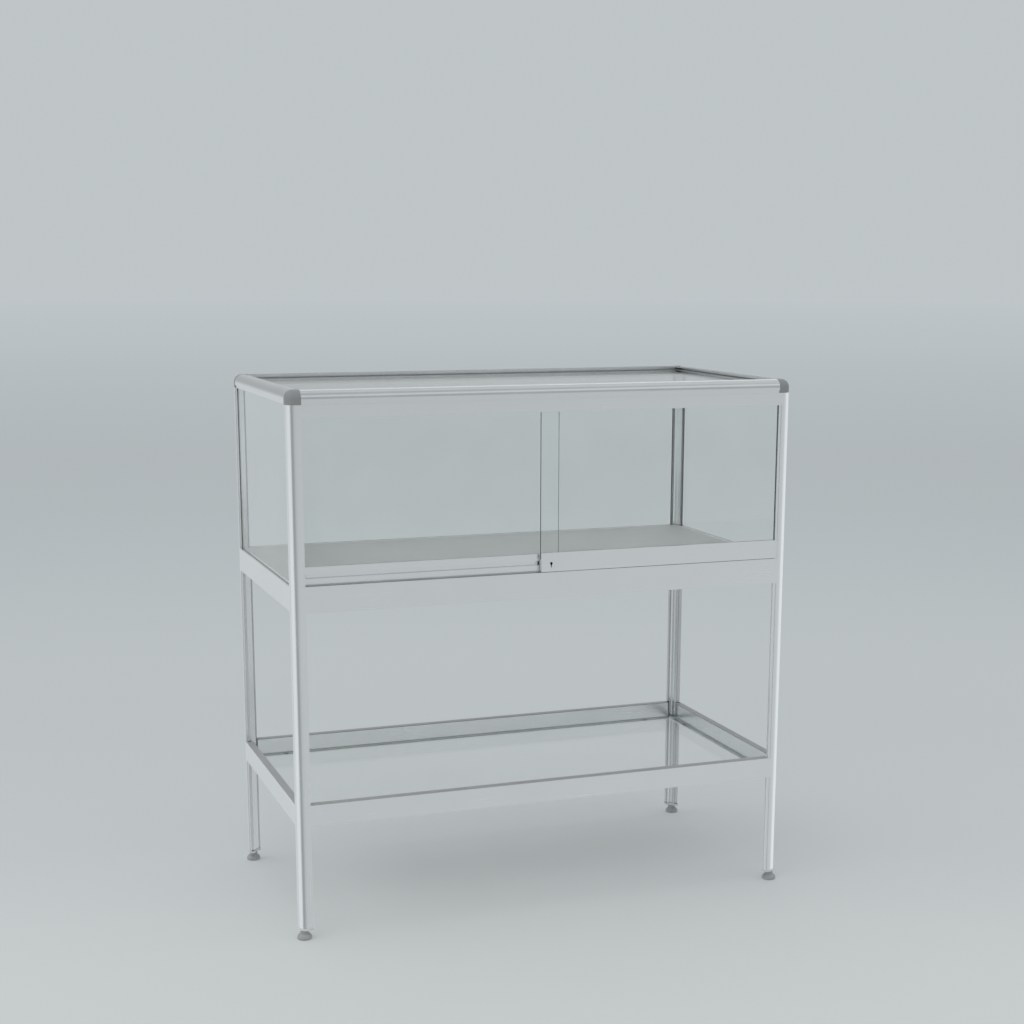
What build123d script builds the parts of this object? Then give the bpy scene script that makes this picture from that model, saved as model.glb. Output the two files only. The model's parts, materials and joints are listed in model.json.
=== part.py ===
"""Glass vitrine table: four round-cornered aluminium posts carry a glazed display case with two
sliding front doors over a closed deck, and an open frame with a clear shelf near the floor.

Millimetres, +Z up, front towards -Y. The origin is on the floor under the middle of the table.
"""
import os
from math import cos, radians, sqrt

from build123d import *

os.makedirs("parts", exist_ok=True)

# Overall sizes, over the outer faces of the posts
WIDTH = 1000.0
DEPTH = 500.0
HEIGHT = 1026.0

# Round-cornered section shared by the posts and the upper rails
SECTION = 26.0
CORE = 16.0
CORE_WALL = 1.6
FLANGE = 3.6
LIP = 5.0
LIP_STEP = 1.2
INNER_LIP = 6.0
INNER_LIP_WALL = 2.0

# Glass and its rubber edging
GLASS = 4.0
GASKET_WALL = 0.7
SEAT_GAP = 0.3
GASKET_COVER = 8.2
TOP_GLASS_DROP = 8.0

# Deck and its rails
RAIL_DEPTH = 14.0
RAIL_WALL = 1.6
DECK_TOP = 673.0
DECK_RAIL_HEIGHT = 46.0
DECK_THICKNESS = 18.0
GLAZING_SLOT_DEPTH = 12.0
LEDGE_WIDTH = 10.0
LEDGE_THICKNESS = 3.0

# Front track under the doors
TRACK_RISE = 0.5
TRACK_HEIGHT = 49.5
TRACK_DEPTH = 24.0
TRACK_WALL = 1.8
TRACK_STEP = 3.0
GROOVE_WIDTH = 5.5
TRACK_BACK_LIP = 1.4

# Fascia over the doors
FASCIA_HEIGHT = 24.0
FASCIA_WALL = 2.6
FASCIA_WEB = 4.0
FASCIA_TONGUE = 3.5
GLIDE = 0.5
GLIDE_HEIGHT = 13.0
GLIDE_WEB = 1.0

# Sliding doors
DOOR_RAIL_DEPTH = 10.5
DOOR_RAIL_HEIGHT = 36.0
DOOR_FRONT_WALL = 3.5
DOOR_PLATE = 1.0
DOOR_GAP = 1.0
DOOR_OVERLAP = 40.0
DOOR_END_GAP = 0.8
DOOR_GLASS_SEAT = 12.0
DOOR_GLASS_REACH = 12.0
DOOR_LIFT = 1.0
DOOR_HOLLOW_HEIGHT = 14.5
DOOR_HOLLOW_WALL = 1.4

# Door rollers
ROLLER_RADIUS = 7.0
ROLLER_WIDTH = 4.0
ROLLER_RISE = 1.0
ROLLER_CLEAR = 0.3
ROLLER_INSET = 43.0
ROLLER_PLAY = 0.5
AXLE_RADIUS = 1.5
AXLE_LENGTH = 7.3
RUNNING_FIT = 0.05

# Door lock
LOCK_INSET = 20.0
LOCK_HEIGHT = 16.0
DRUM_RADIUS = 5.0
DRUM_LENGTH = 6.4
KEYHOLE_RADIUS = 2.6
KEYHOLE_SLOT = 2.6
KEYHOLE_DROP = 8.0
BOLT_WIDTH = 5.0
BOLT_HEIGHT = 6.0
BOLT_LENGTH = 8.4
BOLT_OFFSET = 9.0
BOLT_THROW = 4.5
BOLT_CLEAR = 0.2
CASE_MARGIN = 3.0
STRIKER_LUG = 2.9
STRIKER_BACK = 0.8
GROOVE_MARGIN = 1.0

# Door buffers on the front posts
BUFFER_THICKNESS = 3.4
BUFFER_PROUD = 0.5
BUFFER_CLEAR = 0.2

# Lower frame and shelf
LOWER_RAIL_BOTTOM = 222.0
LOWER_RAIL_HEIGHT = 41.5
COVER_THICKNESS = 1.5
COVER_LEG = 8.0
COVER_LEG_CLEAR = 0.4
LOWER_LEDGE = 2.0
SHELF_GLASS = 6.0
SHELF_GAP = 1.0
SHELF_CLIP = 12.0
PAD_RADIUS = 4.0
PAD_THICKNESS = 1.0
PAD_INSET = 60.0

# Feet and the plugs that close the posts
POST_BOTTOM = 22.0
PLUG_FLANGE = 4.5
PLUG_BOSS = 24.0
PLUG_CLEAR = 0.15
FOOT_INSET = 10.5
FOOT_RADIUS = 14.0
FOOT_EDGE = 4.5
FOOT_NECK_RADIUS = 8.2
FOOT_NECK_START = 11.0
FOOT_STOP_GAP = 0.3
STEM_RADIUS = 3.0
STEM_TOP = 62.0
FOOT_SOLE_CHAMFER = 1.0

# Corner caps and hidden rail connectors
SPIGOT_LENGTH = 20.0
SPIGOT_CLEAR = 0.15
CONNECTOR_LENGTH = 24.0
CONNECTOR_HEIGHT = 16.0
CONNECTOR_CLEAR = 0.6

# Values worked out from those above
LEFT = -WIDTH / 2
FRONT = -DEPTH / 2
INNER_X = LEFT + SECTION
INNER_Y = FRONT + SECTION
SLOT_END = FLANGE + GLASS + 2 * GASKET_WALL
PLATE_OVERLAP = LIP
POST_TOP = HEIGHT - SECTION
SLOT_FLOOR = DECK_TOP - GLAZING_SLOT_DEPTH
PANE_EDGE = CORE + SEAT_GAP + GASKET_WALL
RING_EDGE = CORE + SEAT_GAP
RING_INNER = RING_EDGE + GASKET_WALL + GASKET_COVER
CAP_NOTCH = CORE + SEAT_GAP / 2
FASCIA_BOTTOM = POST_TOP - FASCIA_HEIGHT
DOOR_GLASS_TOP = FASCIA_BOTTOM + DOOR_GLASS_REACH
TRACK_TOP = DECK_TOP + TRACK_RISE
TRACK_BOTTOM = TRACK_TOP - TRACK_HEIGHT
LOWER_RAIL_TOP = LOWER_RAIL_BOTTOM + LOWER_RAIL_HEIGHT

FRONT_RAIL_Y = FRONT
FRONT_RAIL_BACK = FRONT_RAIL_Y + DOOR_RAIL_DEPTH
REAR_RAIL_Y = FRONT_RAIL_BACK + DOOR_GAP
FRONT_RAIL_Z = TRACK_TOP + DOOR_LIFT
REAR_RAIL_Z = FRONT_RAIL_Z - TRACK_STEP
DOOR_END = -INNER_X - DOOR_END_GAP


def block(x0, x1, y0, y1, z0, z1):
    """A plain block between two opposite corners."""
    middle = Pos((x0 + x1) / 2, (y0 + y1) / 2, (z0 + z1) / 2)
    return middle * Box(x1 - x0, y1 - y0, z1 - z0)


def rod_along_y(x, z, y0, y1, radius):
    """A round bar that lies along Y."""
    return Pos(x, (y0 + y1) / 2, z) * (Rot(90, 0, 0) * Cylinder(radius, y1 - y0))


def outline(points):
    """A flat face from its corner points."""
    return make_face(Polyline(*points, close=True))


def sweep_x(face, y, z, x0, x1):
    """Runs a section along X: its first coordinate goes to +Y and its second to +Z."""
    plane = Plane(origin=(x0, y, z), x_dir=(0, 1, 0), z_dir=(1, 0, 0))
    return extrude(plane * face, amount=x1 - x0, dir=(1, 0, 0))


def sweep_y(face, x, z, y0, y1):
    """Runs a section along Y: its first coordinate goes to +X and its second to +Z."""
    plane = Plane(origin=(x, y1, z), x_dir=(1, 0, 0), z_dir=(0, -1, 0))
    return extrude(plane * face, amount=y1 - y0, dir=(0, -1, 0))


def sweep_z(face, x, y, z0, z1):
    """Runs a section up from z0 to z1."""
    return extrude(Pos(x, y, z0) * face, amount=z1 - z0, dir=(0, 0, 1))


def to_corner(shape, right, rear):
    """Mirrors a front left piece to another corner."""
    if right:
        shape = mirror(shape, about=Plane.YZ)
    if rear:
        shape = mirror(shape, about=Plane.XZ)
    return shape


CORNERS = {
    "front_left": (False, False),
    "front_right": (True, False),
    "rear_left": (False, True),
    "rear_right": (True, True),
}


def save(node, *shapes):
    """Writes one node from its separate solids."""
    solids = [solid for shape in shapes for solid in shape.solids()]
    whole = solids[0] if len(solids) == 1 else Compound(children=solids)
    export_step(whole, f"parts/{node}.step")


def quarter_round(inset):
    """The hollow of the round core, or a plug for it, drawn smaller by an inset."""
    reach = CORE - CORE_WALL
    radius = reach - inset
    straight = reach - inset
    corner = CORE - sqrt(radius ** 2 - (CORE - straight) ** 2)
    middle = CORE - radius * cos(radians(45))
    arc = ThreePointArc((straight, corner), (middle, middle), (corner, straight))
    walls = Polyline((corner, straight), (straight, straight), (straight, corner))
    return make_face([*arc.edges(), *walls.edges()])


def corner_outline(inside):
    """The outer line of the section, closed by the given inside points."""
    bend = CORE - CORE * cos(radians(45))
    flush = SECTION - LIP
    first = Polyline((SECTION, LIP_STEP), (flush, LIP_STEP), (flush, 0), (CORE, 0))
    arc = ThreePointArc((CORE, 0), (bend, bend), (0, CORE))
    last = Polyline((0, CORE), (0, flush), (LIP_STEP, flush), (LIP_STEP, SECTION),
                    *inside, (SECTION, LIP_STEP))
    return make_face([*first.edges(), *arc.edges(), *last.edges()])


def frame_section(seat):
    """Round core, two flanges, and the two inner lips that make the glazing slots.

    The seat is where the second slot ends, measured from the outer face.
    """
    tip = CORE + INNER_LIP
    inside = [
        (FLANGE, SECTION), (FLANGE, CORE), (SLOT_END, CORE), (SLOT_END, tip),
        (SLOT_END + INNER_LIP_WALL, tip), (SLOT_END + INNER_LIP_WALL, CORE),
        (CORE, CORE), (CORE, seat + INNER_LIP_WALL), (tip, seat + INNER_LIP_WALL),
        (tip, seat), (CORE, seat), (CORE, FLANGE), (SECTION, FLANGE),
    ]
    return corner_outline(inside) - quarter_round(0)


def upside_down(face):
    """Turns a section over, so that its second coordinate runs down from the top."""
    return mirror(face, about=Plane.XZ)


def make_posts():
    section = frame_section(SLOT_END)
    post = sweep_z(section, LEFT, FRONT, POST_BOTTOM, POST_TOP)
    for corner, sides in CORNERS.items():
        save(f"{corner}_post", to_corner(post, *sides))


def make_plugs():
    tip = CORE + INNER_LIP
    inner = SLOT_END + INNER_LIP_WALL
    inside = [(inner, SECTION), (inner, tip), (CORE, CORE), (tip, inner), (SECTION, inner)]
    flange = sweep_z(corner_outline(inside), LEFT, FRONT, POST_BOTTOM - PLUG_FLANGE, POST_BOTTOM)
    boss = sweep_z(quarter_round(PLUG_CLEAR), LEFT, FRONT, POST_BOTTOM, POST_BOTTOM + PLUG_BOSS)
    bore_height = PLUG_FLANGE + PLUG_BOSS
    bore_middle = POST_BOTTOM - PLUG_FLANGE + bore_height / 2
    at_foot = Pos(LEFT + FOOT_INSET, FRONT + FOOT_INSET, bore_middle)
    plug = flange + boss - at_foot * Cylinder(STEM_RADIUS + RUNNING_FIT, bore_height)
    save("post_end_plugs", *[to_corner(plug, *sides) for sides in CORNERS.values()])


def make_feet():
    neck_top = POST_BOTTOM - PLUG_FLANGE - FOOT_STOP_GAP
    shoulder = (FOOT_RADIUS + FOOT_NECK_RADIUS) / 2
    shoulder_rise = (FOOT_EDGE + FOOT_NECK_START) / 2 + FOOT_SOLE_CHAMFER
    side = Polyline(
        (0, 0), (FOOT_RADIUS - FOOT_SOLE_CHAMFER, 0), (FOOT_RADIUS, FOOT_SOLE_CHAMFER),
        (FOOT_RADIUS, FOOT_EDGE))
    dome = ThreePointArc((FOOT_RADIUS, FOOT_EDGE), (shoulder, shoulder_rise),
                         (FOOT_NECK_RADIUS, FOOT_NECK_START))
    stem = Polyline(
        (FOOT_NECK_RADIUS, FOOT_NECK_START), (FOOT_NECK_RADIUS, neck_top),
        (STEM_RADIUS, neck_top), (STEM_RADIUS, STEM_TOP), (0, STEM_TOP), (0, 0))
    half = make_face([*side.edges(), *dome.edges(), *stem.edges()])
    foot = revolve(Plane.XZ * half, axis=Axis.Z)
    foot = Pos(LEFT + FOOT_INSET, FRONT + FOOT_INSET, 0) * foot
    for corner, sides in CORNERS.items():
        save(f"{corner}_foot", to_corner(foot, *sides))


def make_upper_rails():
    seat = TOP_GLASS_DROP + GLASS + 2 * GASKET_WALL
    section = upside_down(frame_section(seat))
    front = sweep_x(section, FRONT, HEIGHT, INNER_X, -INNER_X)
    left = sweep_y(section, LEFT, HEIGHT, INNER_Y, -INNER_Y)
    save("upper_front_rail", front)
    save("upper_rear_rail", to_corner(front, False, True))
    save("upper_left_rail", left)
    save("upper_right_rail", to_corner(left, True, False))


def make_corner_caps():
    """A rounded cube with three spigots, notched for the corners of the glass."""
    base = HEIGHT - SECTION
    cube = block(LEFT, INNER_X, FRONT, INNER_Y, base, HEIGHT)
    upright = cube.edges().filter_by(Axis.Z).sort_by(Axis.X)[:2].sort_by(Axis.Y)[0]
    top_edges = cube.faces().sort_by(Axis.Z)[-1].edges()
    along_front = top_edges.sort_by(Axis.Y)[0]
    along_left = top_edges.sort_by(Axis.X)[0]
    cap = fillet([upright, along_front, along_left], CORE)
    notch_x = LEFT + CAP_NOTCH
    notch_y = FRONT + CAP_NOTCH
    cap -= block(notch_x, INNER_X, notch_y, INNER_Y, base, HEIGHT - FLANGE)
    slot_top = HEIGHT - CAP_NOTCH
    cap -= block(LEFT + FLANGE, LEFT + SLOT_END, notch_y, INNER_Y, base, slot_top)
    cap -= block(notch_x, INNER_X, FRONT + FLANGE, FRONT + SLOT_END, base, slot_top)
    peg = quarter_round(SPIGOT_CLEAR)
    hanging_peg = upside_down(peg)
    cap += sweep_z(peg, LEFT, FRONT, base - SPIGOT_LENGTH, base)
    cap += sweep_x(hanging_peg, FRONT, HEIGHT, INNER_X, INNER_X + SPIGOT_LENGTH)
    cap += sweep_y(hanging_peg, LEFT, HEIGHT, INNER_Y, INNER_Y + SPIGOT_LENGTH)
    for corner, sides in CORNERS.items():
        save(f"{corner}_cap", to_corner(cap, *sides))


def face_plate_x(z0, z1):
    """The thin front skin of a rail that runs over the lips of the posts."""
    reach = -INNER_X + PLATE_OVERLAP
    return block(-reach, reach, FRONT, FRONT + LIP_STEP, z0, z1)


def face_plate_y(z0, z1):
    """The thin outer skin of a side rail that runs over the lips of the posts."""
    reach = -INNER_Y + PLATE_OVERLAP
    return block(LEFT, LEFT + LIP_STEP, -reach, reach, z0, z1)


def make_deck_rails():
    bottom = DECK_TOP - DECK_RAIL_HEIGHT
    ledge_top = DECK_TOP - DECK_THICKNESS
    ledge_low = ledge_top - LEDGE_THICKNESS
    section = outline([
        (0, bottom), (0, DECK_TOP), (FLANGE, DECK_TOP), (FLANGE, SLOT_FLOOR),
        (SLOT_END, SLOT_FLOOR), (SLOT_END, DECK_TOP), (RAIL_DEPTH, DECK_TOP),
        (RAIL_DEPTH, ledge_top), (RAIL_DEPTH + LEDGE_WIDTH, ledge_top),
        (RAIL_DEPTH + LEDGE_WIDTH, ledge_low), (RAIL_DEPTH, ledge_low), (RAIL_DEPTH, bottom),
    ])
    section -= outline([
        (RAIL_WALL, bottom + RAIL_WALL), (RAIL_DEPTH - RAIL_WALL, bottom + RAIL_WALL),
        (RAIL_DEPTH - RAIL_WALL, SLOT_FLOOR - RAIL_WALL), (RAIL_WALL, SLOT_FLOOR - RAIL_WALL),
    ])
    left = sweep_y(section, LEFT, 0, INNER_Y, -INNER_Y) + face_plate_y(bottom, DECK_TOP)
    front_like = sweep_x(section, FRONT, 0, INNER_X, -INNER_X) + face_plate_x(bottom, DECK_TOP)
    save("deck_left_rail", left)
    save("deck_right_rail", to_corner(left, True, False))
    save("deck_rear_rail", to_corner(front_like, False, True))


def roller_line(rail_y):
    """Y of the roller's middle in a door rail."""
    return rail_y + DOOR_RAIL_DEPTH / 2


def roller_height(rail_z):
    """Z of the roller's axle in a door rail."""
    return rail_z + ROLLER_RISE


def groove_floor(rail_z):
    """The running floor under a door's rollers."""
    return roller_height(rail_z) - ROLLER_RADIUS - ROLLER_CLEAR


def make_front_track():
    """The apron under the doors, with a groove for each door's rollers."""
    ledge_top = DECK_TOP - DECK_THICKNESS
    ledge_low = ledge_top - LEDGE_THICKNESS
    front_groove = roller_line(FRONT_RAIL_Y) - FRONT
    rear_groove = roller_line(REAR_RAIL_Y) - FRONT
    half = GROOVE_WIDTH / 2
    front_floor = groove_floor(FRONT_RAIL_Z)
    rear_floor = groove_floor(REAR_RAIL_Z)
    rear_top = TRACK_TOP - TRACK_STEP
    step_at = FRONT_RAIL_BACK - FRONT + DOOR_GAP / 3
    back_lip = TRACK_DEPTH - TRACK_BACK_LIP
    section = outline([
        (0, TRACK_BOTTOM), (0, TRACK_TOP), (front_groove - half, TRACK_TOP),
        (front_groove - half, front_floor), (front_groove + half, front_floor),
        (front_groove + half, TRACK_TOP), (step_at, TRACK_TOP), (step_at, rear_top),
        (rear_groove - half, rear_top), (rear_groove - half, rear_floor),
        (rear_groove + half, rear_floor), (rear_groove + half, rear_top),
        (back_lip, rear_top), (back_lip, DECK_TOP), (TRACK_DEPTH, DECK_TOP),
        (TRACK_DEPTH, ledge_top), (TRACK_DEPTH + LEDGE_WIDTH, ledge_top),
        (TRACK_DEPTH + LEDGE_WIDTH, ledge_low), (TRACK_DEPTH, ledge_low),
        (TRACK_DEPTH, TRACK_BOTTOM),
    ])
    roof = rear_floor - TRACK_WALL
    section -= outline([
        (TRACK_WALL, TRACK_BOTTOM + TRACK_WALL),
        (TRACK_DEPTH - TRACK_WALL, TRACK_BOTTOM + TRACK_WALL),
        (TRACK_DEPTH - TRACK_WALL, roof), (TRACK_WALL, roof),
    ])
    track = sweep_x(section, FRONT, 0, INNER_X, -INNER_X)
    save("front_track", track + face_plate_x(TRACK_BOTTOM, TRACK_TOP))


def make_deck():
    edge_x = LEFT + RAIL_DEPTH
    front = FRONT + TRACK_DEPTH
    rear = -FRONT - RAIL_DEPTH
    deck = block(edge_x, -edge_x, front, rear, DECK_TOP - DECK_THICKNESS, DECK_TOP)
    notch = CORE + SEAT_GAP
    cut = block(LEFT, LEFT + notch, -FRONT - notch, -FRONT, DECK_TOP - DECK_THICKNESS, DECK_TOP)
    deck -= cut
    deck -= mirror(cut, about=Plane.YZ)
    save("deck_panel", deck)


def door_glass_span(rail_y):
    """The two faces of a door's glass."""
    near = rail_y + DOOR_FRONT_WALL
    return near, near + GLASS


def make_fascia():
    """The upper front track: its face closes the case and its channels guide the doors."""
    glass_a, glass_b = [door_glass_span(y) for y in (FRONT_RAIL_Y, REAR_RAIL_Y)]
    spread = GLIDE + BUFFER_CLEAR + BUFFER_CLEAR
    channel_a = (glass_a[0] - spread, glass_a[1] + spread)
    channel_b = (glass_b[0] - spread, glass_b[1] + spread)
    back = channel_b[1] + FASCIA_WALL
    body = block(INNER_X, -INNER_X, FRONT, back, FASCIA_BOTTOM, POST_TOP)
    web = POST_TOP - FASCIA_WEB
    for low, high in (channel_a, channel_b):
        body -= block(INNER_X, -INNER_X, low, high, FASCIA_BOTTOM, web)
    tongue_a = FRONT + FLANGE + COVER_LEG_CLEAR
    tongue_b = FRONT + SLOT_END - COVER_LEG_CLEAR
    body += block(INNER_X, -INNER_X, tongue_a, tongue_b, POST_TOP, POST_TOP + FASCIA_TONGUE)
    save("fascia_track", body + face_plate_x(FASCIA_BOTTOM, POST_TOP))

    strips = []
    for low, high in (channel_a, channel_b):
        strip_top = FASCIA_BOTTOM + GLIDE_HEIGHT + GLIDE_WEB
        strip = block(INNER_X, -INNER_X, low, high, FASCIA_BOTTOM, strip_top)
        strip -= block(INNER_X, -INNER_X, low + GLIDE, high - GLIDE,
                       FASCIA_BOTTOM, FASCIA_BOTTOM + GLIDE_HEIGHT)
        strips.append(strip)
    save("door_glide_strips", *strips)


def keyhole(x, z, y0, y1):
    """A round hole with a slot below it, for a bit key."""
    hole = rod_along_y(x, z, y0, y1, KEYHOLE_RADIUS)
    half = KEYHOLE_SLOT / 2
    return hole + block(x - half, x + half, y0, y1, z - KEYHOLE_DROP, z)


def roller_places(right):
    """X of the two rollers of a door, right or left."""
    near = ROLLER_INSET
    far = DOOR_END - ROLLER_INSET
    return (near, far) if right else (-far, -near)


def rail_blank(rail_y, rail_z, x0, x1):
    """A door rail with its glass seat."""
    rail = block(x0, x1, rail_y, rail_y + DOOR_RAIL_DEPTH, rail_z, rail_z + DOOR_RAIL_HEIGHT)
    near, far = door_glass_span(rail_y)
    top = rail_z + DOOR_RAIL_HEIGHT
    return rail - block(x0, x1, near, far, top - DOOR_GLASS_SEAT, top)


def roller_cuts(rail_y, rail_z, right):
    """Pockets and axle holes for the rollers of a door."""
    line = roller_line(rail_y)
    half = ROLLER_WIDTH / 2 + ROLLER_PLAY
    reach = ROLLER_RADIUS + ROLLER_PLAY
    height = roller_height(rail_z)
    cuts = []
    for x in roller_places(right):
        cuts.append(block(x - reach, x + reach, line - half, line + half, rail_z, height + reach))
        cuts.append(rod_along_y(x, height, line - AXLE_LENGTH / 2, line + AXLE_LENGTH / 2,
                                AXLE_RADIUS + RUNNING_FIT))
    return cuts


def make_rollers(side, rail_y, rail_z, right):
    line = roller_line(rail_y)
    height = roller_height(rail_z)
    axles = []
    for name, x in zip(("inner", "outer") if right else ("outer", "inner"), roller_places(right)):
        wheel = rod_along_y(x, height, line - ROLLER_WIDTH / 2, line + ROLLER_WIDTH / 2,
                            ROLLER_RADIUS)
        wheel -= rod_along_y(x, height, line - ROLLER_WIDTH, line + ROLLER_WIDTH,
                             AXLE_RADIUS + RUNNING_FIT)
        save(f"{side}_{name}_roller", wheel)
        axles.append(rod_along_y(x, height, line - AXLE_LENGTH / 2, line + AXLE_LENGTH / 2,
                                 AXLE_RADIUS))
    save(f"{side}_roller_axles", *axles)


LOCK_X = -DOOR_OVERLAP / 2 + LOCK_INSET
LOCK_Z = FRONT_RAIL_Z + LOCK_HEIGHT
BOLT_X = LOCK_X + BOLT_OFFSET
DRUM_FRONT = FRONT_RAIL_Y + DOOR_HOLLOW_WALL + ROLLER_CLEAR
HOLLOW_TOP = FRONT_RAIL_Z + DOOR_RAIL_HEIGHT - DOOR_GLASS_SEAT - DOOR_HOLLOW_WALL
HOLLOW_BOTTOM = HOLLOW_TOP - DOOR_HOLLOW_HEIGHT
HOLLOW_FRONT = FRONT_RAIL_Y + DOOR_HOLLOW_WALL
HOLLOW_BACK = FRONT_RAIL_BACK - DOOR_HOLLOW_WALL
BOLT_LOW = LOCK_Z - BOLT_HEIGHT / 2
BOLT_HIGH = LOCK_Z + BOLT_HEIGHT / 2


def bolt_channel(clear, y0, y1):
    """The guide of the bolt, or the bolt itself when clear is 0."""
    half = BOLT_WIDTH / 2 + clear
    return block(BOLT_X - half, BOLT_X + half, y0, y1, BOLT_LOW - clear, BOLT_HIGH + clear)


def make_right_door():
    """The front door: its lower rail carries the lock."""
    x0 = -DOOR_OVERLAP / 2
    rail = rail_blank(FRONT_RAIL_Y, FRONT_RAIL_Z, x0, DOOR_END)
    rail -= block(x0, DOOR_END, HOLLOW_FRONT, HOLLOW_BACK, HOLLOW_BOTTOM, HOLLOW_TOP)
    plate_end = -INNER_X + PLATE_OVERLAP - DOOR_END_GAP / 2
    top = FRONT_RAIL_Z + DOOR_RAIL_HEIGHT
    rail += block(DOOR_END, plate_end, FRONT_RAIL_Y, FRONT_RAIL_Y + DOOR_PLATE, FRONT_RAIL_Z, top)
    rail -= keyhole(LOCK_X, LOCK_Z, FRONT_RAIL_Y, HOLLOW_FRONT)
    rail -= bolt_channel(BOLT_CLEAR, HOLLOW_BACK, FRONT_RAIL_BACK)
    for cut in roller_cuts(FRONT_RAIL_Y, FRONT_RAIL_Z, True):
        rail -= cut
    save("right_door_rail", rail)

    near, far = door_glass_span(FRONT_RAIL_Y)
    save("right_door_glass", block(x0, DOOR_END, near, far, top - DOOR_GLASS_SEAT, DOOR_GLASS_TOP))


def make_left_door():
    """The rear door: a groove in the face of its rail takes the thrown bolt."""
    x1 = DOOR_OVERLAP / 2
    rail = rail_blank(REAR_RAIL_Y, REAR_RAIL_Z, -DOOR_END, x1)
    groove_back = FRONT_RAIL_BACK + BOLT_THROW + BOLT_CLEAR + STRIKER_BACK
    groove_low = BOLT_LOW - GROOVE_MARGIN
    groove_high = BOLT_HIGH + GROOVE_MARGIN
    rail -= block(-DOOR_END, x1, REAR_RAIL_Y, groove_back, groove_low, groove_high)
    for cut in roller_cuts(REAR_RAIL_Y, REAR_RAIL_Z, False):
        rail -= cut
    save("left_door_rail", rail)

    top = REAR_RAIL_Z + DOOR_RAIL_HEIGHT
    near, far = door_glass_span(REAR_RAIL_Y)
    save("left_door_glass", block(-DOOR_END, x1, near, far, top - DOOR_GLASS_SEAT, DOOR_GLASS_TOP))

    pocket = BOLT_WIDTH / 2 + 3 * BOLT_CLEAR
    outer = pocket + STRIKER_LUG
    striker = block(BOLT_X - outer, BOLT_X + outer, REAR_RAIL_Y + BOLT_CLEAR, groove_back,
                    groove_low, groove_high)
    striker -= block(BOLT_X - pocket, BOLT_X + pocket, REAR_RAIL_Y, groove_back - STRIKER_BACK,
                     groove_low, groove_high)
    save("lock_striker", striker)


def make_lock():
    drum_end = DRUM_FRONT + DRUM_LENGTH
    drum = rod_along_y(LOCK_X, LOCK_Z, DRUM_FRONT, drum_end, DRUM_RADIUS)
    keyway = keyhole(LOCK_X, LOCK_Z, DRUM_FRONT, drum_end - DOOR_HOLLOW_WALL)
    save("lock_drum", drum - keyway)

    bolt_start = FRONT_RAIL_BACK - BOLT_LENGTH
    save("lock_bolt", bolt_channel(0, bolt_start, FRONT_RAIL_BACK))

    case_left = LOCK_X - DRUM_RADIUS - CASE_MARGIN
    case_right = BOLT_X + BOLT_WIDTH / 2 + CASE_MARGIN
    case = block(case_left, case_right, HOLLOW_FRONT, HOLLOW_BACK, HOLLOW_BOTTOM, HOLLOW_TOP)
    case -= rod_along_y(LOCK_X, LOCK_Z, HOLLOW_FRONT, drum_end + ROLLER_CLEAR,
                        DRUM_RADIUS + RUNNING_FIT)
    case -= bolt_channel(BOLT_CLEAR, HOLLOW_FRONT, HOLLOW_BACK)
    case -= keyhole(LOCK_X, LOCK_Z, HOLLOW_FRONT, DRUM_FRONT)
    save("lock_case", case)


def make_buffers():
    """Dark rubber strips in the front posts that the closed doors meet."""
    low = TRACK_TOP
    high = FASCIA_BOTTOM
    start = CORE + BUFFER_CLEAR
    tip = SECTION + BUFFER_PROUD
    near = FRONT + FLANGE + BUFFER_CLEAR
    strip = block(LEFT + start, LEFT + tip, near, near + BUFFER_THICKNESS, low, high)
    save("right_door_buffer", to_corner(strip, True, False))

    slot_back = FRONT + SLOT_END - BUFFER_CLEAR
    head = CORE + INNER_LIP + 3 * BUFFER_CLEAR
    deep = door_glass_span(REAR_RAIL_Y)[1]
    long_strip = block(LEFT + start, LEFT + tip, near, slot_back, low, high)
    long_strip += block(LEFT + head, LEFT + tip, near, deep, low, high)
    save("left_door_buffer", long_strip)


def edging(pane, ring, window):
    """A rubber channel round a pane: the ring, less the pane and the open window."""
    return ring - pane - window


def make_side_glass():
    x0 = LEFT + FLANGE + GASKET_WALL
    y0 = FRONT + PANE_EDGE
    z0 = SLOT_FLOOR + GASKET_WALL
    pane = block(x0, x0 + GLASS, y0, -y0, z0, HEIGHT - PANE_EDGE)
    ring = block(LEFT + FLANGE, LEFT + SLOT_END, FRONT + RING_EDGE, -FRONT - RING_EDGE,
                 SLOT_FLOOR, HEIGHT - RING_EDGE)
    window = block(LEFT, LEFT + RAIL_DEPTH, FRONT + RING_INNER, -FRONT - RING_INNER,
                   DECK_TOP, HEIGHT - RING_INNER)
    gasket = edging(pane, ring, window)
    for side, right in (("left", False), ("right", True)):
        save(f"{side}_glass", to_corner(pane, right, False))
        save(f"{side}_glass_gasket", to_corner(gasket, right, False))


def make_rear_glass():
    y1 = -FRONT - FLANGE - GASKET_WALL
    x0 = LEFT + PANE_EDGE
    z0 = SLOT_FLOOR + GASKET_WALL
    pane = block(x0, -x0, y1 - GLASS, y1, z0, HEIGHT - PANE_EDGE)
    ring = block(LEFT + RING_EDGE, -LEFT - RING_EDGE, -FRONT - SLOT_END, -FRONT - FLANGE,
                 SLOT_FLOOR, HEIGHT - RING_EDGE)
    window = block(LEFT + RING_INNER, -LEFT - RING_INNER, -FRONT - RAIL_DEPTH, -FRONT,
                   DECK_TOP, HEIGHT - RING_INNER)
    save("rear_glass", pane)
    save("rear_glass_gasket", edging(pane, ring, window))


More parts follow.
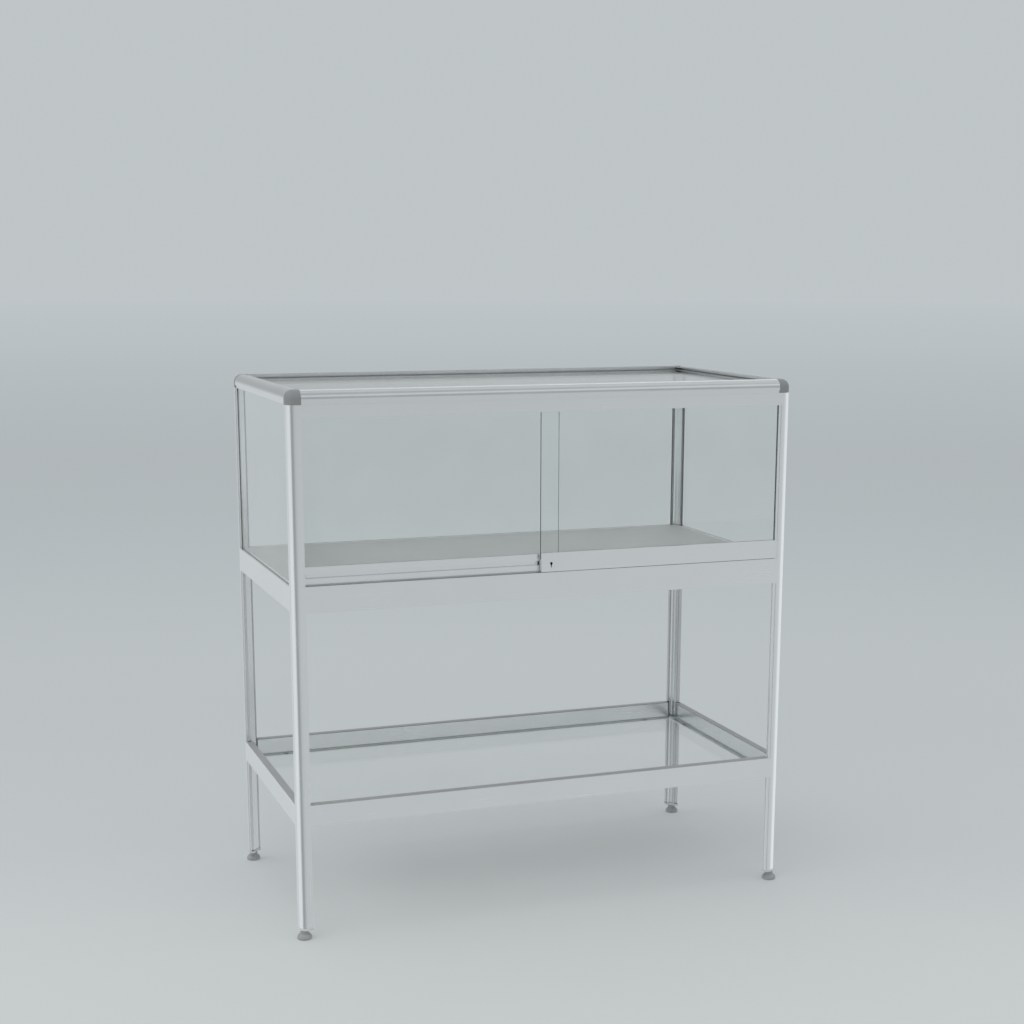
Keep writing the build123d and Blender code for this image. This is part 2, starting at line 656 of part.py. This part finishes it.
def make_top_glass():
    ring_top = HEIGHT - TOP_GLASS_DROP
    ring_low = ring_top - GLASS - 2 * GASKET_WALL
    x0 = LEFT + PANE_EDGE
    y0 = FRONT + PANE_EDGE
    pane = block(x0, -x0, y0, -y0, ring_low + GASKET_WALL, ring_top - GASKET_WALL)
    ring = block(LEFT + RING_EDGE, -LEFT - RING_EDGE, FRONT + RING_EDGE, -FRONT - RING_EDGE,
                 ring_low, ring_top)
    window = block(LEFT + RING_INNER, -LEFT - RING_INNER, FRONT + RING_INNER,
                   -FRONT - RING_INNER, ring_low, ring_top)
    save("top_glass", pane)
    save("top_glass_gasket", edging(pane, ring, window))


def make_lower_rails():
    crest = LOWER_RAIL_TOP - COVER_THICKNESS
    floor = crest - GLAZING_SLOT_DEPTH
    ledge = LOWER_RAIL_BOTTOM + LOWER_LEDGE
    section = outline([
        (0, LOWER_RAIL_BOTTOM), (0, crest), (FLANGE, crest), (FLANGE, floor),
        (SLOT_END, floor), (SLOT_END, crest), (RAIL_DEPTH, crest), (RAIL_DEPTH, ledge),
        (RAIL_DEPTH + LEDGE_WIDTH, ledge), (RAIL_DEPTH + LEDGE_WIDTH, LOWER_RAIL_BOTTOM),
    ])
    section -= outline([
        (RAIL_WALL, LOWER_RAIL_BOTTOM + RAIL_WALL),
        (RAIL_DEPTH - RAIL_WALL, LOWER_RAIL_BOTTOM + RAIL_WALL),
        (RAIL_DEPTH - RAIL_WALL, floor - RAIL_WALL), (RAIL_WALL, floor - RAIL_WALL),
    ])
    left = sweep_y(section, LEFT, 0, INNER_Y, -INNER_Y) + face_plate_y(LOWER_RAIL_BOTTOM, crest)
    front = sweep_x(section, FRONT, 0, INNER_X, -INNER_X) + face_plate_x(LOWER_RAIL_BOTTOM, crest)
    save("lower_left_rail", left)
    save("lower_right_rail", to_corner(left, True, False))
    save("lower_front_rail", front)
    save("lower_rear_rail", to_corner(front, False, True))

    leg_a = FLANGE + COVER_LEG_CLEAR
    leg_b = SLOT_END - COVER_LEG_CLEAR
    strip = outline([
        (0, crest), (0, LOWER_RAIL_TOP), (RAIL_DEPTH, LOWER_RAIL_TOP), (RAIL_DEPTH, crest),
        (leg_b, crest), (leg_b, crest - COVER_LEG), (leg_a, crest - COVER_LEG), (leg_a, crest),
    ])
    left_strip = sweep_y(strip, LEFT, 0, INNER_Y, -INNER_Y)
    front_strip = sweep_x(strip, FRONT, 0, INNER_X, -INNER_X)
    save("lower_rail_covers", left_strip, to_corner(left_strip, True, False), front_strip,
         to_corner(front_strip, False, True))


def make_shelf():
    low = LOWER_RAIL_BOTTOM + LOWER_LEDGE + PAD_THICKNESS
    inset = RAIL_DEPTH + SHELF_GAP
    shelf = block(LEFT + inset, -LEFT - inset, FRONT + inset, -FRONT - inset,
                  low, low + SHELF_GLASS)
    shelf = chamfer(shelf.edges().filter_by(Axis.Z), SHELF_CLIP)
    save("shelf_glass", shelf)

    pad = Cylinder(PAD_RADIUS, PAD_THICKNESS)
    pad_z = low - PAD_THICKNESS / 2
    on_ledge = RAIL_DEPTH + LEDGE_WIDTH / 2
    by_front = Pos(INNER_X + PAD_INSET, FRONT + on_ledge, pad_z) * pad
    by_side = Pos(LEFT + on_ledge, INNER_Y + PAD_INSET, pad_z) * pad
    pads = [to_corner(p, *sides) for p in (by_front, by_side) for sides in CORNERS.values()]
    save("shelf_pads", *pads)


def corner_connectors(z_middle):
    """The two hidden blocks that join the rails to one post."""
    z0 = z_middle - CONNECTOR_HEIGHT / 2
    z1 = z_middle + CONNECTOR_HEIGHT / 2
    tongue = (FLANGE + CONNECTOR_CLEAR, SLOT_END - CONNECTOR_CLEAR)
    wide = (RAIL_WALL + CONNECTOR_CLEAR, RAIL_DEPTH - RAIL_WALL - CONNECTOR_CLEAR)
    start = SECTION + CONNECTOR_CLEAR
    end = SECTION + CONNECTOR_LENGTH
    along_x = block(LEFT + CORE, LEFT + end, FRONT + tongue[0], FRONT + tongue[1], z0, z1)
    along_x += block(LEFT + start, LEFT + end, FRONT + wide[0], FRONT + wide[1], z0, z1)
    along_y = block(LEFT + tongue[0], LEFT + tongue[1], FRONT + CORE, FRONT + end, z0, z1)
    along_y += block(LEFT + wide[0], LEFT + wide[1], FRONT + start, FRONT + end, z0, z1)
    return along_x, along_y


def make_connectors():
    deck_low = DECK_TOP - DECK_RAIL_HEIGHT + RAIL_WALL
    deck_high = SLOT_FLOOR - RAIL_WALL
    lower_low = LOWER_RAIL_BOTTOM + RAIL_WALL
    lower_high = LOWER_RAIL_TOP - COVER_THICKNESS - GLAZING_SLOT_DEPTH - RAIL_WALL
    levels = {
        "deck_rail_connectors": (deck_low + deck_high) / 2,
        "lower_rail_connectors": (lower_low + lower_high) / 2,
    }
    for node, level in levels.items():
        pair = corner_connectors(level)
        save(node, *[to_corner(p, *sides) for p in pair for sides in CORNERS.values()])


make_posts()
make_plugs()
make_feet()
make_upper_rails()
make_corner_caps()
make_deck_rails()
make_front_track()
make_deck()
make_fascia()
make_right_door()
make_left_door()
make_rollers("right", FRONT_RAIL_Y, FRONT_RAIL_Z, True)
make_rollers("left", REAR_RAIL_Y, REAR_RAIL_Z, False)
make_lock()
make_buffers()
make_side_glass()
make_rear_glass()
make_top_glass()
make_lower_rails()
make_shelf()
make_connectors()
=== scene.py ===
"""Looks of the glass vitrine table: finishes for every part, a pale studio, light and camera."""
import json
from math import cos, degrees, radians, sin

import bmesh
import bpy
from mathutils import Matrix, Vector


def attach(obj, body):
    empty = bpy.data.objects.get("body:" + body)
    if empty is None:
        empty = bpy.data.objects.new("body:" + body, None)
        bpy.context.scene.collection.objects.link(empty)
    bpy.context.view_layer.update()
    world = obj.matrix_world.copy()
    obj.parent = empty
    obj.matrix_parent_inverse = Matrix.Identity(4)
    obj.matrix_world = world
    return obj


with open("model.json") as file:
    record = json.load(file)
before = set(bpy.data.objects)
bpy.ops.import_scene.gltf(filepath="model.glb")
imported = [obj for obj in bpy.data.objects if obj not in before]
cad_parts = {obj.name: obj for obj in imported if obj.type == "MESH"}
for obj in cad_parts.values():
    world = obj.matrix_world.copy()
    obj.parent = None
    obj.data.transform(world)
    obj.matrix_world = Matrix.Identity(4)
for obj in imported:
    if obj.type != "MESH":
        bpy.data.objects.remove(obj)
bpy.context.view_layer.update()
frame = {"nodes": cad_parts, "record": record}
nodes = frame["nodes"]

# The photograph's camera, in metres, radians and pixels of a 1024 pixel frame
IMAGE = 1024
SENSOR_MM = 36.0
CAMERA_AT = Vector((-1.16925, -3.30440, 1.24882))
YAW, PITCH, ROLL = 0.35113, 0.21014, -0.00246
FOCAL = 1752.46
PRINCIPAL_X, PRINCIPAL_Y = 526.2, 635.3

# Surface colours, linear
ALUMINIUM_DARK = (0.855, 0.875, 0.88, 1)
ALUMINIUM_LIGHT = (0.915, 0.93, 0.935, 1)
GLASS_CLEAR = (0.985, 0.995, 0.99, 1)
GLASS_DUST = (0.95, 0.965, 0.96, 1)
GLASS_EDGE = (0.03, 0.05, 0.045, 1)
# Painted light: the rear door pane's edge, seen through the front door pane, is lighter than the
# glass's own dark edge
PAINTED_FAINT_EDGE = (0.24, 0.29, 0.275, 1)
# Painted light: the top and shelf panes' edges are pale to lift the shade in the gap beside the rails
PAINTED_LIGHT_EDGE = (0.72, 0.78, 0.76, 1)
RUBBER_DARK = (0.30, 0.305, 0.31, 1)
RUBBER_LIGHT = (0.37, 0.375, 0.38, 1)
CAP_DARK = (0.225, 0.23, 0.235, 1)
CAP_LIGHT = (0.285, 0.29, 0.295, 1)
FOOT_DARK = (0.285, 0.29, 0.295, 1)
FOOT_LIGHT = (0.345, 0.35, 0.355, 1)
COVER_DARK = (0.32, 0.325, 0.33, 1)
COVER_LIGHT = (0.38, 0.385, 0.39, 1)
LAMINATE_DARK = (0.345, 0.36, 0.355, 1)
LAMINATE_LIGHT = (0.445, 0.46, 0.455, 1)
PALE_DARK = (0.55, 0.56, 0.57, 1)
PALE_LIGHT = (0.66, 0.67, 0.68, 1)
NYLON_DARK = (0.68, 0.68, 0.65, 1)
NYLON_LIGHT = (0.80, 0.80, 0.77, 1)
STEEL_DARK = (0.50, 0.50, 0.49, 1)
STEEL_LIGHT = (0.66, 0.66, 0.65, 1)
LOCK_DARK = (0.012, 0.012, 0.013, 1)
LOCK_LIGHT = (0.03, 0.03, 0.03, 1)
SKY = (0.52, 0.56, 0.575, 1)

# Below that of real glass, so that the panes mirror as softly as in the photograph
GLASS_IOR = 1.2
# How much of a pattern is fine grain and how much is broad cloud
FINE_SHARE, BROAD_SHARE = 0.55, 0.45
BROAD_SCALE = 9.0
LAMINATE_SPECKS, LAMINATE_CLOUD_SHARE = 700.0, 0.35

# Strips in the posts' grooves, in metres from the posts' outer faces
HALF_WIDTH, HALF_DEPTH = 0.5, 0.25
FILLER_DEEP, FILLER_FACE = 0.0190, 0.0256
FILLER_NEAR, FILLER_FAR = 0.00365, 0.00895
FILLER_SPANS = ((0.0245, 0.2210), (0.2650, 0.6225))

# Plugs in the ends of the door rails, in metres; each rail runs past the middle by DOOR_OVERLAP
RAIL_END, DOOR_OVERLAP = 0.4732, 0.02
RIGHT_HOLLOW_Y, RIGHT_HOLLOW_Z = (-0.24855, -0.24095), (0.68265, 0.69705)
LEFT_HOLLOW_Y, LEFT_HOLLOW_Z = (-0.23705, -0.22945), (0.67965, 0.69405)
PLUG_INSET, PLUG_LENGTH = 0.0001, 0.0025

# Studio, in metres
FLOOR_RADIUS = 60.0
# The floor's colour by distance from the camera, painted shade that darkens it out to about 12 m and
# lightens it again beyond
FLOOR_SHADE_TONES = ((2.9, (0.585, 0.61, 0.615)), (3.2, (0.58, 0.605, 0.61)),
               (3.75, (0.531, 0.56, 0.567)), (4.8, (0.50, 0.53, 0.54)),
               (5.6, (0.498, 0.528, 0.54)), (7.6, (0.462, 0.494, 0.51)),
               (9.2, (0.445, 0.475, 0.49)), (11.6, (0.437, 0.465, 0.48)),
               (15.7, (0.452, 0.484, 0.50)), (27.7, (0.487, 0.522, 0.542)))
# The far rim's colour, which its light brings to that of the sky
FLOOR_RIM = (0.522, 0.553, 0.570, 1)
FLOOR_GLOW = 0.35
WORLD_TINT = (0.97, 1.0, 1.0, 1)
WORLD_LEVEL = 0.80
LEFT_GLOW = 0.55
ROOM_TINT = (0.945, 0.99, 1.01, 1)
# What shiny parts mirror: level by degrees round from -X towards +Y, and a factor by height
ROOM_ROUND = ((-180, 0.88), (-150, 0.85), (-134, 0.62), (-110, 0.58), (-90, 0.56), (-75, 0.50),
              (-54, 0.33), (-34, 0.33), (-24, 0.80), (26, 0.80), (40, 0.64),
              (70, 0.65), (84, 0.64), (110, 0.82), (150, 0.80), (165, 0.88), (180, 0.88))
ROOM_RISE = ((-1, 1.0), (-0.05, 1.0), (0.06, 0.62), (0.38, 0.62), (0.46, 1.14), (0.62, 1.14),
             (0.74, 0.64), (1, 0.64))
SUN_LEVEL = 0.45
SUN_SPREAD = radians(40)
SUN_TILT = (radians(6), radians(-10), 0)


def add(tree, kind, **values):
    """A shader node, with its named inputs and settings filled in."""
    node = tree.nodes.new(kind)
    for name, value in values.items():
        key = name.replace("_", " ")
        if key in node.inputs:
            node.inputs[key].default_value = value
        else:
            setattr(node, name, value)
    return node


def join(tree, source, target):
    tree.links.new(source, target)


def feed(tree, value, target):
    """Joins an output to the input, or sets the input to a plain value."""
    if isinstance(value, bpy.types.NodeSocket):
        join(tree, value, target)
    else:
        target.default_value = value


def calculate(tree, operation, *values):
    """One sum on outputs or numbers."""
    node = add(tree, "ShaderNodeMath", operation=operation)
    for target, value in zip(node.inputs, values):
        feed(tree, value, target)
    return node.outputs["Value"]


def mixed_shaders(tree, factor, first, second):
    """The first shader at a factor of 0, and the second at 1."""
    mix = add(tree, "ShaderNodeMixShader")
    feed(tree, factor, mix.inputs["Fac"])
    join(tree, first, mix.inputs[1])
    join(tree, second, mix.inputs[2])
    return mix.outputs["Shader"]


def new_finish(name, roughness, metallic=0.0, coat=0.0):
    """A material with its Principled shader, ready for its pattern."""
    mat = bpy.data.materials.new(name)
    mat.use_nodes = True
    shader = mat.node_tree.nodes["Principled BSDF"]
    shader.inputs["Roughness"].default_value = roughness
    shader.inputs["Metallic"].default_value = metallic
    shader.inputs["Coat Weight"].default_value = coat
    return mat, mat.node_tree, shader


def grain(tree, stretch, scale, detail=3.0, rough=0.6):
    """Noise on object coordinates, stretched by the three factors."""
    place = add(tree, "ShaderNodeTexCoord")
    mapping = add(tree, "ShaderNodeMapping", Scale=stretch)
    noise = add(tree, "ShaderNodeTexNoise", Scale=scale, Detail=detail, Roughness=rough)
    join(tree, place.outputs["Object"], mapping.inputs["Vector"])
    join(tree, mapping.outputs["Vector"], noise.inputs["Vector"])
    return noise.outputs["Fac"]


def spread(tree, value, low, high, source_low=0.3, source_high=0.7):
    """The value moved into a range."""
    node = add(tree, "ShaderNodeMapRange", From_Min=source_low, From_Max=source_high,
               To_Min=low, To_Max=high)
    join(tree, value, node.inputs["Value"])
    return node.outputs["Result"]


def tint(tree, factor, dark, light):
    """A colour between two, each an output or a plain colour, by a factor."""
    mix = add(tree, "ShaderNodeMix", data_type="RGBA")
    targets = [socket for socket in mix.inputs if socket.type == "RGBA"]
    feed(tree, dark, targets[0])
    feed(tree, light, targets[1])
    join(tree, factor, mix.inputs["Factor"])
    return [socket for socket in mix.outputs if socket.type == "RGBA"][0]


def relief(tree, shader, height, strength, depth):
    """A bump of that depth in metres."""
    bump = add(tree, "ShaderNodeBump", Strength=strength, Distance=depth)
    join(tree, height, bump.inputs["Height"])
    join(tree, bump.outputs["Normal"], shader.inputs["Normal"])


def patterned(name, dark, light, scale, roughness, metallic=0.0, stretch=(1, 1, 1),
              relief_depth=0.0001, relief_strength=0.3, rough_span=0.08, coat=0.0):
    """A finish whose colour, gloss and relief all follow its own grain."""
    mat, tree, shader = new_finish(name, roughness, metallic, coat)
    fine = grain(tree, stretch, scale, detail=4.0)
    broad = grain(tree, (1, 1, 1), BROAD_SCALE, detail=2.0)
    cloud = calculate(tree, "MULTIPLY", broad, BROAD_SHARE)
    value = calculate(tree, "MULTIPLY_ADD", fine, FINE_SHARE, cloud)
    join(tree, tint(tree, spread(tree, value, 0, 1), dark, light), shader.inputs["Base Color"])
    rough = spread(tree, value, roughness - rough_span, roughness + rough_span)
    join(tree, rough, shader.inputs["Roughness"])
    relief(tree, shader, fine, relief_strength, relief_depth)
    return mat


def extruded_aluminium(axis):
    """Satin anodised aluminium with drawing lines along one axis."""
    stretch = [1.0, 1.0, 1.0]
    stretch["xyz".index(axis)] = 0.004
    return patterned(f"anodised_aluminium_{axis}", ALUMINIUM_DARK, ALUMINIUM_LIGHT,
                     scale=900.0, roughness=0.24, metallic=0.95, stretch=stretch,
                     relief_depth=0.00002, relief_strength=0.25, rough_span=0.05)


def edge_mask(tree, axis):
    """One on a pane's narrow edges, and nought on its two faces across the axis."""
    normal = add(tree, "ShaderNodeNewGeometry")
    split = add(tree, "ShaderNodeSeparateXYZ")
    join(tree, normal.outputs["Normal"], split.inputs["Vector"])
    return calculate(tree, "LESS_THAN", calculate(tree, "ABSOLUTE", split.outputs[axis.upper()]), 0.5)


def clear_glass(name, axis, edge_colour):
    """Clear float glass with a coloured edge, for panes whose thickness runs along the axis."""
    mat, tree, shader = new_finish(name, 0.02)
    shader.inputs["IOR"].default_value = GLASS_IOR
    film = grain(tree, (1, 1, 1), 6.0, detail=5.0)
    clear = tint(tree, spread(tree, film, 0, 1, 0.45, 0.8), GLASS_CLEAR, GLASS_DUST)
    mask = edge_mask(tree, axis)
    join(tree, tint(tree, mask, clear, edge_colour), shader.inputs["Base Color"])
    join(tree, spread(tree, mask, 0.99, 0.0, 0, 1), shader.inputs["Transmission Weight"])
    join(tree, spread(tree, mask, 0.015, 0.3, 0, 1), shader.inputs["Roughness"])
    path = add(tree, "ShaderNodeLightPath")
    through = add(tree, "ShaderNodeBsdfTransparent", Color=GLASS_CLEAR)
    pane = mixed_shaders(tree, path.outputs["Is Shadow Ray"], shader.outputs["BSDF"],
                         through.outputs["BSDF"])
    join(tree, pane, tree.nodes["Material Output"].inputs["Surface"])
    return mat


def clear_pad():
    """Soft clear plastic with a slight haze."""
    mat, tree, shader = new_finish("clear_plastic", 0.12)
    shader.inputs["Transmission Weight"].default_value = 0.9
    haze = grain(tree, (1, 1, 1), 400.0)
    join(tree, tint(tree, haze, PALE_LIGHT, GLASS_CLEAR), shader.inputs["Base Color"])
    join(tree, spread(tree, haze, 0.08, 0.2), shader.inputs["Roughness"])
    return mat


def deck_laminate():
    """Matt grey laminate with a fine two-tone speckle."""
    mat, tree, shader = new_finish("grey_laminate", 0.55)
    place = add(tree, "ShaderNodeTexCoord")
    cells = add(tree, "ShaderNodeTexVoronoi", Scale=LAMINATE_SPECKS)
    join(tree, place.outputs["Object"], cells.inputs["Vector"])
    cloud = grain(tree, (1, 1, 1), 5.0, detail=3.0)
    speck = spread(tree, cells.outputs["Distance"], 0.35, 0.65, 0.1, 0.8)
    value = calculate(tree, "MULTIPLY_ADD", cloud, LAMINATE_CLOUD_SHARE, speck)
    join(tree, tint(tree, spread(tree, value, 0, 1, 0.4, 0.95), LAMINATE_DARK, LAMINATE_LIGHT),
         shader.inputs["Base Color"])
    join(tree, spread(tree, value, 0.48, 0.62, 0.4, 0.95), shader.inputs["Roughness"])
    relief(tree, shader, cells.outputs["Distance"], 0.25, 0.00005)
    return mat


aluminium = {axis: extruded_aluminium(axis) for axis in "xyz"}
side_glass = clear_glass("side_glass", "x", GLASS_EDGE)
# The flat panes' edges carry painted light, pale in place of the glass's own dark edge
flat_glass = clear_glass("flat_glass", "z", PAINTED_LIGHT_EDGE)
front_glass = clear_glass("front_glass", "y", GLASS_EDGE)
# The rear door pane's edge carries painted light, lighter for its look through the front pane
inner_door_glass = clear_glass("inner_door_glass", "y", PAINTED_FAINT_EDGE)
glass = {"left_glass": side_glass, "right_glass": side_glass, "rear_glass": front_glass,
         "top_glass": flat_glass, "shelf_glass": flat_glass,
         "left_door_glass": inner_door_glass, "right_door_glass": front_glass}
finishes = {
    "black_rubber": patterned("black_rubber", RUBBER_DARK, RUBBER_LIGHT,
                              scale=500.0, roughness=0.6),
    "dark_grey_plastic": patterned("dark_grey_plastic", CAP_DARK, CAP_LIGHT,
                                   scale=1400.0, roughness=0.5),
    "dark_grey_foot": patterned("dark_grey_foot", FOOT_DARK, FOOT_LIGHT,
                                scale=900.0, roughness=0.48, coat=0.1),
    "grey_laminate": deck_laminate(),
    "light_grey_plastic": patterned("light_grey_plastic", PALE_DARK, PALE_LIGHT,
                                    scale=900.0, roughness=0.45),
    "clear_plastic": clear_pad(),
    "roller_plastic": patterned("roller_plastic", NYLON_DARK, NYLON_LIGHT,
                                scale=300.0, roughness=0.35),
    "bright_steel": patterned("bright_steel", STEEL_DARK, STEEL_LIGHT,
                              scale=600.0, roughness=0.3, metallic=1.0, stretch=(1, 0.02, 1)),
    "lock_black": patterned("lock_black", LOCK_DARK, LOCK_LIGHT,
                            scale=500.0, roughness=0.4, metallic=0.4),
}
cover_finish = patterned("cover_plastic", COVER_DARK, COVER_LIGHT, scale=1100.0, roughness=0.55)


def run_axis(node):
    """The axis along which a part was extruded."""
    if node.endswith("_post"):
        return "z"
    return "y" if node.endswith(("left_rail", "right_rail")) else "x"


def finish_for(node, slot):
    if slot == "anodised_aluminium":
        return aluminium[run_axis(node)]
    if slot == "clear_glass":
        return glass[node]
    if node == "lower_rail_covers":
        return cover_finish
    return finishes[slot]


def dress_parts():
    """Gives every CAD part its finish."""
    for entry in frame["record"]["subparts"]:
        mesh = nodes[entry["node"]].data
        mesh.materials.clear()
        mesh.materials.append(finish_for(entry["node"], entry["material_slot"]))


def add_blocks(name, blocks, body, finish):
    """One piece of plain blocks, each given by two opposite corners."""
    mesh = bpy.data.meshes.new(name)
    shape = bmesh.new()
    for low, high in blocks:
        middle = [(a + b) / 2 for a, b in zip(low, high)]
        size = [b - a for a, b in zip(low, high)]
        place = Matrix.Translation(middle) @ Matrix.Diagonal((*size, 1))
        bmesh.ops.create_cube(shape, size=1.0, matrix=place)
    shape.to_mesh(mesh)
    shape.free()
    mesh.materials.append(finish)
    piece = bpy.data.objects.new(name, mesh)
    bpy.context.scene.collection.objects.link(piece)
    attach(piece, body)


def in_corner(right, back, xs, ys, low, high):
    """Two opposite corners of a block measured inwards from a post's outer faces."""
    x = sorted(right * (HALF_WIDTH - v) for v in xs)
    y = sorted(back * (HALF_DEPTH - v) for v in ys)
    return (x[0], y[0], low), (x[1], y[1], high)


def groove_fillers():
    """Pale strips that close the posts' unused grooves above and below the lower rails."""
    deep, wide = (FILLER_DEEP, FILLER_FACE), (FILLER_NEAR, FILLER_FAR)
    blocks = []
    for low, high in FILLER_SPANS:
        for right in (-1, 1):
            for back in (-1, 1):
                blocks.append(in_corner(right, back, deep, wide, low, high))
                blocks.append(in_corner(right, back, wide, deep, low, high))
    add_blocks("groove_fillers", blocks, "frame", finishes["light_grey_plastic"])


def door_end_plugs():
    """Pale plugs that close the hollow at both ends of each door rail."""
    for side, ends, y, z in (("right", (-DOOR_OVERLAP, RAIL_END), RIGHT_HOLLOW_Y, RIGHT_HOLLOW_Z),
                             ("left", (-RAIL_END, DOOR_OVERLAP), LEFT_HOLLOW_Y, LEFT_HOLLOW_Z)):
        first, last = ends[0] + PLUG_INSET, ends[1] - PLUG_INSET
        blocks = [((first, y[0], z[0]), (first + PLUG_LENGTH, y[1], z[1])),
                  ((last - PLUG_LENGTH, y[0], z[0]), (last, y[1], z[1]))]
        add_blocks(f"{side}_door_end_plugs", blocks, f"{side}_door", finishes["light_grey_plastic"])


def floor_shade_colour(tree):
    """The floor's colour, painted shade that follows the distance from the camera's place."""
    place = add(tree, "ShaderNodeTexCoord")
    mapping = add(tree, "ShaderNodeMapping", Location=(-CAMERA_AT.x, -CAMERA_AT.y, 0))
    length = add(tree, "ShaderNodeVectorMath", operation="LENGTH")
    join(tree, place.outputs["Object"], mapping.inputs["Vector"])
    join(tree, mapping.outputs["Vector"], length.inputs[0])
    ramp = add(tree, "ShaderNodeValToRGB")
    distance = spread(tree, length.outputs["Value"], 0, 1, 0, FLOOR_RADIUS)
    join(tree, distance, ramp.inputs["Fac"])
    stops = ramp.color_ramp.elements
    stops[0].position, stops[0].color = 0.0, (*FLOOR_SHADE_TONES[0][1], 1)
    stops[1].position, stops[1].color = 1.0, FLOOR_RIM
    for at, colour in FLOOR_SHADE_TONES:
        stops.new(at / FLOOR_RADIUS).color = (*colour, 1)
    return ramp.outputs["Color"]


def floor_finish():
    """A pale floor with painted shade, darker far away, that keeps the table's shadow."""
    mat = bpy.data.materials.new("studio_floor")
    mat.use_nodes = True
    tree = mat.node_tree
    colour = floor_shade_colour(tree)
    paint = add(tree, "ShaderNodeBsdfDiffuse")
    glow = add(tree, "ShaderNodeEmission")
    join(tree, colour, paint.inputs["Color"])
    join(tree, colour, glow.inputs["Color"])
    shown = mixed_shaders(tree, FLOOR_GLOW, paint.outputs["BSDF"], glow.outputs["Emission"])
    join(tree, shown, tree.nodes["Material Output"].inputs["Surface"])
    return mat


def make_floor():
    mesh = bpy.data.meshes.new("studio_floor")
    shape = bmesh.new()
    bmesh.ops.create_circle(shape, cap_ends=True, radius=FLOOR_RADIUS, segments=96)
    shape.to_mesh(mesh)
    shape.free()
    mesh.materials.append(floor_finish())
    floor = bpy.data.objects.new("studio_floor", mesh)
    floor.visible_glossy = False
    bpy.context.scene.collection.objects.link(floor)


def level_by(tree, value, levels):
    """A grey level read from pairs of value and level."""
    low, high = levels[0][0], levels[-1][0]
    top = max(level for _, level in levels)
    ramp = add(tree, "ShaderNodeValToRGB")
    join(tree, spread(tree, value, 0, 1, low, high), ramp.inputs["Fac"])
    stops = ramp.color_ramp.elements
    for index, (at, level) in enumerate(levels):
        position = (at - low) / (high - low)
        if index == 0:
            stop = stops[0]
        elif index == len(levels) - 1:
            stop = stops[len(stops) - 1]
        else:
            stop = stops.new(position)
        stop.position = position
        stop.color = (level / top, level / top, level / top, 1)
    return calculate(tree, "MULTIPLY", ramp.outputs["Color"], top)


def mirrored_room(tree, split):
    """The soft boxes and dark flags that only shiny parts mirror."""
    towards_left = calculate(tree, "MULTIPLY", split.outputs["X"], -1.0)
    angle = calculate(tree, "ARCTAN2", split.outputs["Y"], towards_left)
    in_degrees = calculate(tree, "MULTIPLY", angle, degrees(1))
    level = calculate(tree, "MULTIPLY", level_by(tree, in_degrees, ROOM_ROUND),
                      level_by(tree, split.outputs["Z"], ROOM_RISE))
    room = add(tree, "ShaderNodeBackground", Color=ROOM_TINT)
    join(tree, level, room.inputs["Strength"])
    return room.outputs["Background"]


def make_world():
    """An even sky, brighter on the left, that shows as the pale background."""
    world = bpy.data.worlds.new("studio")
    bpy.context.scene.world = world
    world.use_nodes = True
    tree = world.node_tree
    light = tree.nodes["Background"]
    place = add(tree, "ShaderNodeTexCoord")
    split = add(tree, "ShaderNodeSeparateXYZ")
    join(tree, place.outputs["Generated"], split.inputs["Vector"])
    level = spread(tree, split.outputs["X"], WORLD_LEVEL + LEFT_GLOW, WORLD_LEVEL, -1.0, -0.2)
    join(tree, level, light.inputs["Strength"])
    light.inputs["Color"].default_value = WORLD_TINT
    sky = add(tree, "ShaderNodeBackground", Color=SKY, Strength=1.0)
    path = add(tree, "ShaderNodeLightPath")
    seen = calculate(tree, "MAXIMUM", path.outputs["Is Camera Ray"],
                     path.outputs["Is Transmission Ray"])
    backdrop = mixed_shaders(tree, seen, light.outputs["Background"], sky.outputs["Background"])
    whole = mixed_shaders(tree, path.outputs["Is Glossy Ray"], backdrop, mirrored_room(tree, split))
    join(tree, whole, tree.nodes["World Output"].inputs["Surface"])


def make_sun():
    """A wide soft light from above."""
    data = bpy.data.lights.new("overhead", "SUN")
    data.energy = SUN_LEVEL
    data.angle = SUN_SPREAD
    lamp = bpy.data.objects.new("overhead", data)
    lamp.rotation_euler = SUN_TILT
    lamp.visible_glossy = False
    bpy.context.scene.collection.objects.link(lamp)


def make_camera():
    ahead = Vector((sin(YAW) * cos(PITCH), cos(YAW) * cos(PITCH), -sin(PITCH)))
    level_right = Vector((cos(YAW), -sin(YAW), 0))
    level_down = ahead.cross(level_right)
    right = level_right * cos(ROLL) + level_down * sin(ROLL)
    down = level_down * cos(ROLL) - level_right * sin(ROLL)
    data = bpy.data.cameras.new("photo_camera")
    data.sensor_width = SENSOR_MM
    data.lens = FOCAL / IMAGE * SENSOR_MM
    data.shift_x = (IMAGE / 2 - PRINCIPAL_X) / IMAGE
    data.shift_y = (PRINCIPAL_Y - IMAGE / 2) / IMAGE
    data.clip_end = 2 * FLOOR_RADIUS
    camera = bpy.data.objects.new("photo_camera", data)
    turn = Matrix((right, -down, -ahead)).transposed().to_4x4()
    camera.matrix_world = Matrix.Translation(CAMERA_AT) @ turn
    bpy.context.scene.collection.objects.link(camera)
    bpy.context.scene.camera = camera


dress_parts()
groove_fillers()
door_end_plugs()
make_floor()
make_world()
make_sun()
make_camera()
bpy.context.scene.view_settings.view_transform = "Standard"
